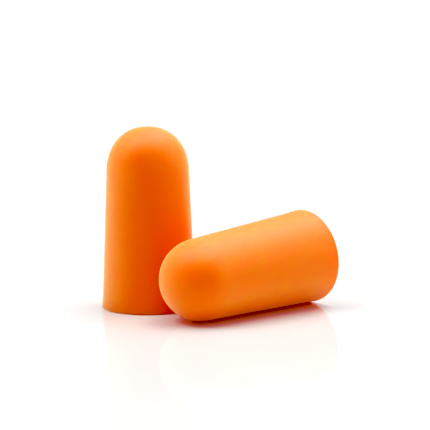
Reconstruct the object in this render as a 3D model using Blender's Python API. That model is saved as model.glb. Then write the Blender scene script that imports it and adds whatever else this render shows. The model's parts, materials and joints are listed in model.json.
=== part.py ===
"""A pair of tapered foam ear plugs: one stands on its flat base, the other lies beside it.

Each plug is one moulded piece of slow-recovery foam, turned about a single axis: a flat round
base, a side that flares a little at its foot and narrows towards the nose, and a full domed nose.
Metres, +Z up. The origin is the centre of the standing plug's base.
"""

import math

import bmesh
import bpy

# The plug
LENGTH = 0.0241
NOSE_LENGTH = 0.0054
BASE_RADIUS = 0.00621
SHOULDER_RADIUS = 0.00541
NOSE_POWER = 2.15
FLARE = 0.00009
FLARE_FALL = 0.0012

# Where the lying plug's base is, and which way its nose points
LYING_BASE_X = 0.02123
LYING_BASE_Y = 0.00252
LYING_HEADING = math.radians(220.75)

# How finely the shape is divided
STEPS_AROUND = 48
NOSE_STEPS = 11
SIDE_STEPS = 8

# Points closer than this are one point, and edges sharper than this are shaded as edges
MERGE_DISTANCE = 0.000001
SHARP_ANGLE = math.radians(40.0)

FOAM_COLOUR = (0.90, 0.145, 0.006, 1.0)
FOAM_ROUGHNESS = 0.85


def side_radius(height):
    """Radius of the plug's side, a cone whose foot flares out, at a height above the base."""
    taper = (BASE_RADIUS - SHOULDER_RADIUS) / (LENGTH - NOSE_LENGTH)
    return BASE_RADIUS - taper * height + FLARE * math.exp(-height / FLARE_FALL)


def nose_share(height):
    """Share of the side's radius that the domed nose leaves: 1 up to the shoulder, 0 at the tip."""
    along = max(0.0, (height - LENGTH + NOSE_LENGTH) / NOSE_LENGTH)
    return (1.0 - along**NOSE_POWER) ** (1.0 / NOSE_POWER)


def plug_outline():
    """(radius, height) points down the outer side, from the nose's tip to the base's rim."""
    shoulder = LENGTH - NOSE_LENGTH
    turns = [0.5 * math.pi * (1.0 - i / NOSE_STEPS) for i in range(1, NOSE_STEPS)]
    heights = [shoulder + NOSE_LENGTH * math.sin(turn) for turn in turns]
    heights += [shoulder * (1.0 - i / SIDE_STEPS) ** 2 for i in range(SIDE_STEPS + 1)]
    return [(0.0, LENGTH)] + [(side_radius(z) * nose_share(z), z) for z in heights]


def plug_mesh():
    """The outline and the base's radius, turned about Z into one closed body."""
    shape = bmesh.new()
    corners = [shape.verts.new((r, 0.0, z)) for r, z in plug_outline()]
    corners.append(shape.verts.new((0.0, 0.0, 0.0)))
    lines = [shape.edges.new(ends) for ends in zip(corners, corners[1:])]
    bmesh.ops.spin(
        shape,
        geom=corners + lines,
        axis=(0.0, 0.0, 1.0),
        angle=2.0 * math.pi,
        steps=STEPS_AROUND,
        use_merge=True,
    )
    bmesh.ops.remove_doubles(shape, verts=shape.verts, dist=MERGE_DISTANCE)
    bmesh.ops.recalc_face_normals(shape, faces=shape.faces)
    mesh = bpy.data.meshes.new("ear_plug")
    shape.to_mesh(mesh)
    shape.free()
    mesh.shade_smooth()
    mesh.set_sharp_from_angle(angle=SHARP_ANGLE)
    return mesh


def foam_material():
    """Soft orange polyurethane foam with a dull skin."""
    foam = bpy.data.materials.new("orange_foam")
    foam.use_nodes = True
    surface = foam.node_tree.nodes["Principled BSDF"]
    surface.inputs["Base Color"].default_value = FOAM_COLOUR
    surface.inputs["Roughness"].default_value = FOAM_ROUGHNESS
    surface.inputs["Metallic"].default_value = 0.0
    return foam


def add_plug(name, mesh):
    """One plug, standing on its base at the origin."""
    plug = bpy.data.objects.new(name, mesh)
    bpy.context.scene.collection.objects.link(plug)
    return plug


def resting_tilt():
    """How far the lying plug's nose dips once its rim and its shoulder both touch down.

    It is the slope of the line from the rim that passes closest outside every other point.
    """
    rim = side_radius(0.0)
    return min(math.atan2(rim - radius, z) for radius, z in plug_outline() if z > 0.0)


def lay_down(plug):
    """Lays the plug on its side, touching the rest plane at its rim and its shoulder."""
    tilt = resting_tilt()
    place = bpy.data.objects.new("lying_place", None)
    place.location = (LYING_BASE_X, LYING_BASE_Y, side_radius(0.0) * math.cos(tilt))
    place.rotation_euler = (0.0, 0.0, LYING_HEADING)
    bpy.context.scene.collection.objects.link(place)
    plug.parent = place
    plug.rotation_euler = (0.0, 0.5 * math.pi + tilt, 0.0)


def main():
    for old in list(bpy.data.objects):
        bpy.data.objects.remove(old)
    mesh = plug_mesh()
    mesh.materials.append(foam_material())
    add_plug("standing_ear_plug", mesh)
    lay_down(add_plug("lying_ear_plug", mesh))


main()
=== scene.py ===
"""Looks for a pair of tapered foam ear plugs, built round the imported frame. Metres, +Z up."""

import json
import math

import bpy
import numpy as np
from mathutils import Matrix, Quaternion, Vector, kdtree, noise

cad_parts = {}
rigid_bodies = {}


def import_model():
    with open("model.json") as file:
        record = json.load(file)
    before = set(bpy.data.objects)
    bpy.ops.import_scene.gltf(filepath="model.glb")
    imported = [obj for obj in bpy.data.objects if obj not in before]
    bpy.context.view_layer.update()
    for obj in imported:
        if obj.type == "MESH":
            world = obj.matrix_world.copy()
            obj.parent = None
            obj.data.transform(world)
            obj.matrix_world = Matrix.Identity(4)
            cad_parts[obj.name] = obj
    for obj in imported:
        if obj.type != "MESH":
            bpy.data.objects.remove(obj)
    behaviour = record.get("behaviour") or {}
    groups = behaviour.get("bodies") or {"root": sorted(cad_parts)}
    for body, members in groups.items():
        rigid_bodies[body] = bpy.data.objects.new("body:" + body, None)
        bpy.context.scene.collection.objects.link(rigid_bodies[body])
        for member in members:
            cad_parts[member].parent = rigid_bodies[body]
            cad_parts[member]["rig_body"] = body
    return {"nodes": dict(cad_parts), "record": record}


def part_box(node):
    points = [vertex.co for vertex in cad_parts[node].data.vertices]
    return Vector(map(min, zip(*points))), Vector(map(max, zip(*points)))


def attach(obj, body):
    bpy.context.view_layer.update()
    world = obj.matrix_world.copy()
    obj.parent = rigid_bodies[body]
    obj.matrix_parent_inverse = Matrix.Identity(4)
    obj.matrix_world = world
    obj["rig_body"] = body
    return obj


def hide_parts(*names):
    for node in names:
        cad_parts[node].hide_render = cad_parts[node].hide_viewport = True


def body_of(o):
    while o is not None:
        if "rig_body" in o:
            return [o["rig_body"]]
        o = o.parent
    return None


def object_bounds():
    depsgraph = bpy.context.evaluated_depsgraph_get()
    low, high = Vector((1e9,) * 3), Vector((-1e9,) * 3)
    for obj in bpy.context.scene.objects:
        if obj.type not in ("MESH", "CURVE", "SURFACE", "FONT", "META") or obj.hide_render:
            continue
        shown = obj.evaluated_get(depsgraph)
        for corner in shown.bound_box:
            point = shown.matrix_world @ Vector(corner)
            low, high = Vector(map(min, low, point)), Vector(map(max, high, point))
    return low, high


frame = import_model()
cad_low, cad_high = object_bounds()

MM = 0.001

# Each plug's outline, since no two foam plugs come out quite alike: the nose as a share of the
# length, the shoulder as a share of the base's radius, the nose's power, and how far the foot flares
STANDING_FORM = (0.237, 0.88, 2.2, 0.14 * MM)
LYING_FORM = (0.218, 0.86, 2.15, 0.09 * MM)

# Fine form: how fast the flare dies out, the flare that the CAD's foot has, the round of the base's
# rim, and how deep the base is dished
FLARE_FALL = 1.2 * MM
CAD_FLARE = 0.09 * MM
RIM_ROUND = 0.22 * MM
DISH_DEPTH = 0.12 * MM

# How the foam swells off the turned shape, slow waviness and then orange peel: (height, waves per mm)
SWELLS = ((0.022 * MM, 0.11), (0.0035 * MM, 1.3), (0.0018 * MM, 3.1))

# Pinholes, on the skin and on the cut base: (how many, the widest one's radius)
SKIN_PINHOLES = (60, 0.11 * MM)
BASE_PINHOLES = (150, 0.22 * MM)
LEAST_PINHOLE = 0.07 * MM
PINHOLE_DEPTH = 0.22        # as a share of its radius
FACING_DOWN = -0.9          # points whose normal has a lower z than this are on the base

# The mesh: quads along a side of each end's square grid, how much longer the nose's quads are than
# the side's, and the outline's finest steps
GRID = 88
NOSE_STRETCH = 1.1
OUTLINE_STEPS = 600

# The foam: the two oranges it varies between, the painted shade they are multiplied by inside a pinhole,
# and the deeper, redder painted shade, for the camera only, where a neighbour shuts the foam in, from
# the first share of open surroundings down to the second
ORANGES = ((0.86, 0.190, 0.001, 1.0), (0.88, 0.214, 0.002, 1.0))
PINHOLE_SHADE_TINT = (0.80, 0.62, 0.5, 1.0)
SHUT_IN_SHADE_TINT = (1.0, 0.74, 0.7, 1.0)
SHUT_IN_SHADE_SHARES = (0.85, 0.15)
SHUT_IN_SHADE_REACH = 4.0 * MM
COLOUR_PATCHES = 0.35 / MM
ROUGH_PATCHES = 1.1 / MM
ROUGHNESS = (0.5, 0.64)
CELLS = 7.0 / MM
CELL_DEPTH = 0.02 * MM
CELL_STRENGTH = 0.25
FOAM_FINISH = {
    "Specular IOR Level": 0.55,
    "Sheen Weight": 0.6,
    "Sheen Roughness": 0.5,
    "Sheen Tint": (1.0, 1.0, 0.5, 1.0),
    "Subsurface Weight": 1.0,
    "Subsurface Radius": (1.0, 0.12, 0.03),
    "Subsurface Scale": 3.0 * MM,
}

# The board: how much light it throws back on the plugs and how much of it the camera sees, its
# finish, and the distances between which it runs out into the white backdrop
FLOOR_HALF = 40.0
FLOOR_GAP = 0.01 * MM
BOARD_BOUNCE = 0.88
BOARD_SEEN = 0.72
BOARD_FINISH = {"Roughness": 0.035, "Specular IOR Level": 0.62}
BOARD_REACH = (60.0 * MM, 250.0 * MM)
SEEN_WHITE = 1.1

# The studio's soft boxes, all at infinity: azimuth clockwise from the far side, elevation and reach
# in degrees, then how many stops the box is set below the key. Only low_right_front stands a little
# towards the viewer, so the faces turned to the viewer are the dark ones.
KEY_STRENGTH = 6.5
SOFT_BOXES = {
    "overhead_right": (90.0, 76.0, 24.0, 0.0),
    "overhead_left": (270.0, 76.0, 24.0, 1.0),
    "high_behind_right": (30.0, 56.0, 24.0, 0.5),
    "high_left": (270.0, 56.0, 24.0, 0.0),
    "middle_right": (90.0, 34.0, 24.0, 1.5),
    "low_behind": (0.0, 8.0, 34.0, 3.0),
    "low_right": (90.0, 8.0, 34.0, 3.0),
    "low_right_front": (120.0, 8.0, 34.0, 3.0),
    "low_left": (270.0, 8.0, 34.0, 2.0),
}

# The picture's levels, which deepen the shadows towards red: where each of red, green and blue turns
# black, then points that its curve passes through
BLACK_LEVEL = (0.0, 0.05, 0.05)
TONE_CURVES = (((0.15, 0.26), (0.5, 0.6), (0.8, 0.8)),
               ((0.03, 0.03), (0.12, 0.09), (0.3, 0.3)),
               ((0.016, 0.005), (0.05, 0.037), (0.1, 0.1)))

# Camera: its aim is off the middle of the object's box by the shift
CAMERA_LENS = 136.0
CAMERA_ELEVATION = math.radians(8.5)
CAMERA_ROLL = math.radians(-0.34)
CAMERA_DISTANCE = 212.7 * MM
CAMERA_SHIFT = Vector((-0.64, 0.30, 0.74)) * MM
CAMERA_CLIP = 1.0 * MM


# ---------------------------------------------------------------- shape

def outline(length, base_radius, form):
    """(distance, radius, height) along the plug: nose tip, side, rim, then in to the base's centre.

    The last value returned is the radius of the base inside its rim.
    """
    nose_share, shoulder_share, nose_power, flare = form
    nose_length = nose_share * length
    shoulder = length - nose_length

    # Nose and side: a straight taper, flared at the foot and closed by a superellipse
    turn = np.linspace(0.5 * math.pi, 0.0, OUTLINE_STEPS)
    height = np.concatenate((shoulder + nose_length * np.sin(turn),
                             np.linspace(shoulder, RIM_ROUND, OUTLINE_STEPS)[1:]))
    along = np.clip((height - shoulder) / nose_length, 0.0, 1.0)
    taper = base_radius * (1.0 - shoulder_share) / shoulder
    side = base_radius - taper * height + flare * np.exp(-height / FLARE_FALL)
    radius = side * (1.0 - along**nose_power) ** (1.0 / nose_power)

    # Rim: a quarter circle
    turn = np.linspace(0.0, 0.5 * math.pi, OUTLINE_STEPS // 4)[1:]
    flat_radius = radius[-1] - RIM_ROUND
    radius = np.concatenate((radius, flat_radius + RIM_ROUND * np.cos(turn)))
    height = np.concatenate((height, RIM_ROUND * (1.0 - np.sin(turn))))

    # Base: a shallow dish
    share = np.linspace(1.0, 0.0, OUTLINE_STEPS)[1:]
    radius = np.concatenate((radius, flat_radius * share))
    height = np.concatenate((height, DISH_DEPTH * (1.0 - share**2) ** 2))
    steps = np.hypot(np.diff(radius), np.diff(height))
    return np.concatenate(([0.0], np.cumsum(steps))), radius, height, flat_radius


def disc_grid(cells):
    """(share of the way out, angle) of each corner of a square grid wrapped into a disc."""
    line = np.linspace(-1.0, 1.0, cells + 1)
    u, v = np.meshgrid(line, line, indexing="ij")
    wide = np.abs(u) >= np.abs(v)
    main = np.where(wide, u, v)
    other = np.where(wide, v, u)
    lean = 0.25 * math.pi * other / np.where(main == 0.0, 1.0, main)
    angle = np.where(wide, lean, 0.5 * math.pi - lean) + np.where(main < 0.0, math.pi, 0.0)
    return np.abs(main).ravel(), angle.ravel()


def grid_rim(cells):
    """Indices of the grid's outer corners, counter-clockwise from the corner at minus 45 degrees."""
    row = cells + 1
    right = [cells * row + j for j in range(cells)]
    top = [i * row + cells for i in range(cells, 0, -1)]
    left = [j for j in range(cells, 0, -1)]
    bottom = [i * row for i in range(cells)]
    return np.array(right + top + left + bottom)


def grid_quads(cells):
    """The grid's quads, facing up."""
    i, j = np.meshgrid(np.arange(cells), np.arange(cells), indexing="ij")
    corner = (i * (cells + 1) + j).ravel()
    row = cells + 1
    return np.stack((corner, corner + row, corner + row + 1, corner + 1), axis=1)


def plug_skin(length, base_radius, form):
    """Points, outward normals and quads of one plug, all quads, with its base at the origin."""
    distance, radius, height, flat_radius = outline(length, base_radius, form)
    whole = distance[-1]
    around = 4 * GRID
    step = 2.0 * math.pi * base_radius / around
    nose_cap = 0.5 * GRID * step * NOSE_STRETCH
    base_cap = flat_radius - step
    rings = int((whole - nose_cap - base_cap) / step)

    share, turn = disc_grid(GRID)
    ring_at = np.linspace(nose_cap, whole - base_cap, rings + 1)[1:-1]
    ring_turn = -0.25 * math.pi + 2.0 * math.pi * np.arange(around) / around
    at = np.concatenate((share * nose_cap, np.repeat(ring_at, around), whole - share * base_cap))
    turn = np.concatenate((turn, np.tile(ring_turn, rings - 1), turn))

    slope_r = np.gradient(radius, distance)
    slope_z = np.gradient(height, distance)
    r = np.interp(at, distance, radius)
    z = np.interp(at, distance, height)
    out, up = -np.interp(at, distance, slope_z), np.interp(at, distance, slope_r)
    size = np.hypot(out, up)
    across = np.stack((np.cos(turn), np.sin(turn)), axis=1)
    points = np.column_stack((across * r[:, None], z))
    normals = np.column_stack((across * (out / size)[:, None], up / size))

    cap_points = (GRID + 1) ** 2
    base_start = cap_points + (rings - 1) * around
    loops = [grid_rim(GRID)]
    loops += [cap_points + k * around + np.arange(around) for k in range(rings - 1)]
    loops.append(base_start + grid_rim(GRID))
    quads = [grid_quads(GRID), base_start + grid_quads(GRID)[:, ::-1]]
    for upper, lower in zip(loops, loops[1:]):
        quads.append(np.stack((upper, lower, np.roll(lower, -1), np.roll(upper, -1)), axis=1))
    return points, normals, np.concatenate(quads)


def swell(points, seed):
    """How far the foam stands proud of the turned shape at each point."""
    shift = Vector((17.0, 5.0, 11.0)) * seed
    found = np.zeros(len(points))
    for i, point in enumerate(points / MM):
        place = Vector(point) + shift
        for height, waves in SWELLS:
            found[i] += height * noise.noise(place * waves)
    return found


def pinholes(points, normals, seed):
    """Burst bubbles in the foam: (depth at each point, share of the way into a bubble)."""
    random = np.random.default_rng(seed)
    tree = kdtree.KDTree(len(points))
    for i, point in enumerate(points):
        tree.insert(point, i)
    tree.balance()
    on_base = normals[:, 2] < FACING_DOWN
    depth, inside = np.zeros(len(points)), np.zeros(len(points))
    for where, (count, widest) in ((~on_base, SKIN_PINHOLES), (on_base, BASE_PINHOLES)):
        for centre in random.choice(np.flatnonzero(where), count, replace=False):
            radius = random.uniform(LEAST_PINHOLE, widest)
            for _, i, away in tree.find_range(points[centre], radius):
                bowl = (1.0 - (away / radius) ** 2) ** 2
                depth[i] = max(depth[i], PINHOLE_DEPTH * radius * bowl)
                inside[i] = max(inside[i], bowl)
    return depth, inside


def add_plug(name, node_name, mount_name, form, seed):
    """One plug as the record places it: its base's centre and outward direction come from a mount.

    Both plugs have one size, which the box of the upright one shows.
    """
    mount = next(m for m in frame["record"]["mounts"] if m["name"] == mount_name)
    low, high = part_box("standing_ear_plug")
    length = high.z - low.z
    base_radius = 0.5 * (high.x - low.x) - CAD_FLARE
    points, normals, quads = plug_skin(length, base_radius, form)
    depth, inside = pinholes(points, normals, seed)
    points = points + normals * (swell(points, seed) - depth)[:, None]
    turn = (-Vector(mount["axis"])).to_track_quat("Z", "Y").to_matrix()
    points = points @ np.array(turn).T

    mesh = bpy.data.meshes.new(name)
    mesh.from_pydata(points.tolist(), [], quads.tolist())
    mesh.shade_smooth()
    # How far each point lies into a pinhole, which the foam's colour turns into painted shade
    pinhole = mesh.attributes.new("pinhole", "FLOAT", "POINT")
    pinhole.data.foreach_set("value", inside.astype(np.float32))
    plug = bpy.data.objects.new(name, mesh)
    bpy.context.scene.collection.objects.link(plug)
    plug.location = mount["pos_m"]
    plug.location.z = cad_low.z - points[:, 2].min()
    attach(plug, body_of(frame["nodes"][node_name])[0])
    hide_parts(node_name)
    return plug


# ---------------------------------------------------------------- shader nodes

def node(tree, kind, **settings):
    made = tree.nodes.new(kind)
    for key, value in settings.items():
        setattr(made, key, value)
    return made


def set_inputs(shader, values):
    for name, value in values.items():
        shader.inputs[name].default_value = value


def noise_at(tree, coordinates, scale):
    made = node(tree, "ShaderNodeTexNoise")
    made.inputs["Scale"].default_value = scale
    made.inputs["Detail"].default_value = 2.0
    tree.links.new(coordinates, made.inputs["Vector"])
    return made.outputs["Fac"]


def smooth_ramp(tree, value, start, end, top=1.0):
    """A smooth step of a value: 0 at the start, the top at the end."""
    made = node(tree, "ShaderNodeMapRange", interpolation_type="SMOOTHSTEP")
    made.inputs["From Min"].default_value = start
    made.inputs["From Max"].default_value = end
    made.inputs["To Max"].default_value = top
    tree.links.new(value, made.inputs["Value"])
    return made.outputs["Result"]


def combine(tree, operation, first, second):
    made = node(tree, "ShaderNodeMath", operation=operation)
    tree.links.new(first, made.inputs[0])
    tree.links.new(second, made.inputs[1])
    return made.outputs["Value"]


def camera_ray(tree):
    """1 for what the camera looks at, 0 for light on its way between surfaces."""
    return node(tree, "ShaderNodeLightPath").outputs["Is Camera Ray"]


def tinted(tree, colour, tint, amount):
    """The colour multiplied by the tint, as far as the amount says."""
    made = node(tree, "ShaderNodeMix", data_type="RGBA", blend_type="MULTIPLY")
    made.inputs["B"].default_value = tint
    tree.links.new(amount, made.inputs["Factor"])
    tree.links.new(colour, made.inputs["A"])
    return made.outputs["Result"]


# ---------------------------------------------------------------- materials

def foam_colour(tree, where):
    """An orange that varies slowly, with painted shade inside pinholes and a deeper, redder painted
    shade, for the camera only, where the foam is shut in.
    """
    orange = node(tree, "ShaderNodeMix", data_type="RGBA")
    orange.inputs["A"].default_value = ORANGES[0]
    orange.inputs["B"].default_value = ORANGES[1]
    tree.links.new(noise_at(tree, where, COLOUR_PATCHES), orange.inputs["Factor"])
    # Painted shade darkens the foam inside each pinhole's hollow
    pinhole = node(tree, "ShaderNodeAttribute", attribute_name="pinhole")
    colour = tinted(tree, orange.outputs["Result"], PINHOLE_SHADE_TINT, pinhole.outputs["Fac"])

    # Painted shade: where neighbours close off the open surroundings, the camera gets a deeper, redder
    # orange
    open_share = node(tree, "ShaderNodeAmbientOcclusion", samples=6)
    open_share.inputs["Distance"].default_value = SHUT_IN_SHADE_REACH
    painted_shade = smooth_ramp(tree, open_share.outputs["AO"], *SHUT_IN_SHADE_SHARES)
    shade_for_camera = combine(tree, "MULTIPLY", painted_shade, camera_ray(tree))
    return tinted(tree, colour, SHUT_IN_SHADE_TINT, shade_for_camera)


def foam_roughness(tree, where):
    made = node(tree, "ShaderNodeMapRange")
    made.inputs["To Min"].default_value = ROUGHNESS[0]
    made.inputs["To Max"].default_value = ROUGHNESS[1]
    tree.links.new(noise_at(tree, where, ROUGH_PATCHES), made.inputs["Value"])
    return made.outputs["Result"]


def foam_bump(tree, where):
    """The foam's closed cells, felt through its skin."""
    cells = node(tree, "ShaderNodeTexVoronoi", feature="SMOOTH_F1")
    cells.inputs["Scale"].default_value = CELLS
    tree.links.new(where, cells.inputs["Vector"])
    bump = node(tree, "ShaderNodeBump")
    bump.inputs["Strength"].default_value = CELL_STRENGTH
    bump.inputs["Distance"].default_value = CELL_DEPTH
    tree.links.new(cells.outputs["Distance"], bump.inputs["Height"])
    return bump.outputs["Normal"]


def foam_material():
    """Moulded foam: satin, with a soft sheen, and light scattering below its skin."""
    foam = bpy.data.materials.new("orange_foam")
    foam.use_nodes = True
    tree = foam.node_tree
    surface = tree.nodes["Principled BSDF"]
    where = node(tree, "ShaderNodeTexCoord").outputs["Object"]
    tree.links.new(foam_colour(tree, where), surface.inputs["Base Color"])
    tree.links.new(foam_roughness(tree, where), surface.inputs["Roughness"])
    tree.links.new(foam_bump(tree, where), surface.inputs["Normal"])
    set_inputs(surface, FOAM_FINISH)
    return foam


def board_material():
    """Glossy white board, which the camera sees run out into a plain white backdrop."""
    board = bpy.data.materials.new("white_board")
    board.use_nodes = True
    tree = board.node_tree
    link = tree.links.new
    surface = tree.nodes["Principled BSDF"]
    looked_at = camera_ray(tree)
    white = node(tree, "ShaderNodeMix", data_type="FLOAT")
    white.inputs["A"].default_value = BOARD_BOUNCE
    white.inputs["B"].default_value = BOARD_SEEN
    link(looked_at, white.inputs["Factor"])
    link(white.outputs["Result"], surface.inputs["Base Color"])
    set_inputs(surface, BOARD_FINISH)

    away = node(tree, "ShaderNodeVectorMath", operation="LENGTH")
    link(node(tree, "ShaderNodeTexCoord").outputs["Object"], away.inputs[0])
    far = smooth_ramp(tree, away.outputs["Value"], *BOARD_REACH)
    backdrop = node(tree, "ShaderNodeEmission")
    backdrop.inputs["Strength"].default_value = SEEN_WHITE
    mixed = node(tree, "ShaderNodeMixShader")
    link(combine(tree, "MULTIPLY", far, looked_at), mixed.inputs["Fac"])
    link(surface.outputs["BSDF"], mixed.inputs[1])
    link(backdrop.outputs["Emission"], mixed.inputs[2])
    link(mixed.outputs["Shader"], tree.nodes["Material Output"].inputs["Surface"])
    return board


# ---------------------------------------------------------------- stage

def add_floor():
    mesh = bpy.data.meshes.new("floor")
    corners = [(x, y, 0.0) for x, y in ((-1, -1), (1, -1), (1, 1), (-1, 1))]
    mesh.from_pydata([Vector(c) * FLOOR_HALF for c in corners], [], [(0, 1, 2, 3)])
    mesh.materials.append(board_material())
    floor = bpy.data.objects.new("floor", mesh)
    floor.location.z = cad_low.z - FLOOR_GAP
    bpy.context.scene.collection.objects.link(floor)


def soft_box(tree, looking, azimuth, elevation, reach, stops):
    """Light from one soft box along the direction looked in: full at its middle, none past its reach."""
    a, e = math.radians(azimuth), math.radians(elevation)
    aim = node(tree, "ShaderNodeVectorMath", operation="DOT_PRODUCT")
    aim.inputs[1].default_value = (math.sin(a) * math.cos(e), math.cos(a) * math.cos(e), math.sin(e))
    tree.links.new(looking, aim.inputs[0])
    edge = math.cos(math.radians(reach))
    return smooth_ramp(tree, aim.outputs["Value"], edge, 1.0, KEY_STRENGTH * 0.5**stops)


def studio_world():
    """Surroundings that light the plugs with the soft boxes but look plain white to the camera."""
    world = bpy.data.worlds.new("studio")
    bpy.context.scene.world = world
    world.use_nodes = True
    tree = world.node_tree
    looking = node(tree, "ShaderNodeTexCoord").outputs["Generated"]
    first, *others = [soft_box(tree, looking, *box) for box in SOFT_BOXES.values()]
    total = first
    for glow in others:
        total = combine(tree, "ADD", total, glow)
    pick = node(tree, "ShaderNodeMix", data_type="FLOAT")
    pick.inputs["B"].default_value = SEEN_WHITE
    tree.links.new(camera_ray(tree), pick.inputs["Factor"])
    tree.links.new(total, pick.inputs["A"])
    background = tree.nodes["Background"]
    background.inputs["Color"].default_value = (1.0, 1.0, 1.0, 1.0)
    tree.links.new(pick.outputs["Result"], background.inputs["Strength"])


def add_camera():
    data = bpy.data.cameras.new("camera")
    data.lens = CAMERA_LENS
    data.clip_start = CAMERA_CLIP
    camera = bpy.data.objects.new("camera", data)
    bpy.context.scene.collection.objects.link(camera)
    back = Vector((0.0, -math.cos(CAMERA_ELEVATION), math.sin(CAMERA_ELEVATION)))
    aim = 0.5 * (cad_low + cad_high) + CAMERA_SHIFT
    camera.location = aim + back * CAMERA_DISTANCE
    camera.rotation_mode = "QUATERNION"
    camera.rotation_quaternion = (-back).to_track_quat("-Z", "Y") @ Quaternion((0, 0, 1), CAMERA_ROLL)
    bpy.context.scene.camera = camera


def set_levels():
    """Plain colours, with the picture's levels set as for a product shot."""
    shown = bpy.context.scene.view_settings
    shown.view_transform = "Standard"
    shown.use_curve_mapping = True
    shown.curve_mapping.black_level = BLACK_LEVEL
    for curve, points in zip(shown.curve_mapping.curves, TONE_CURVES):
        for level, shifted in points:
            curve.points.new(level, shifted).handle_type = "AUTO_CLAMPED"
    shown.curve_mapping.update()


foam = foam_material()
plugs = [add_plug("standing_foam_plug", "standing_ear_plug", "standing_base", STANDING_FORM, 1),
         add_plug("lying_foam_plug", "lying_ear_plug", "lying_base", LYING_FORM, 2)]
for plug in plugs:
    plug.data.materials.append(foam)
add_floor()
studio_world()
add_camera()
set_levels()
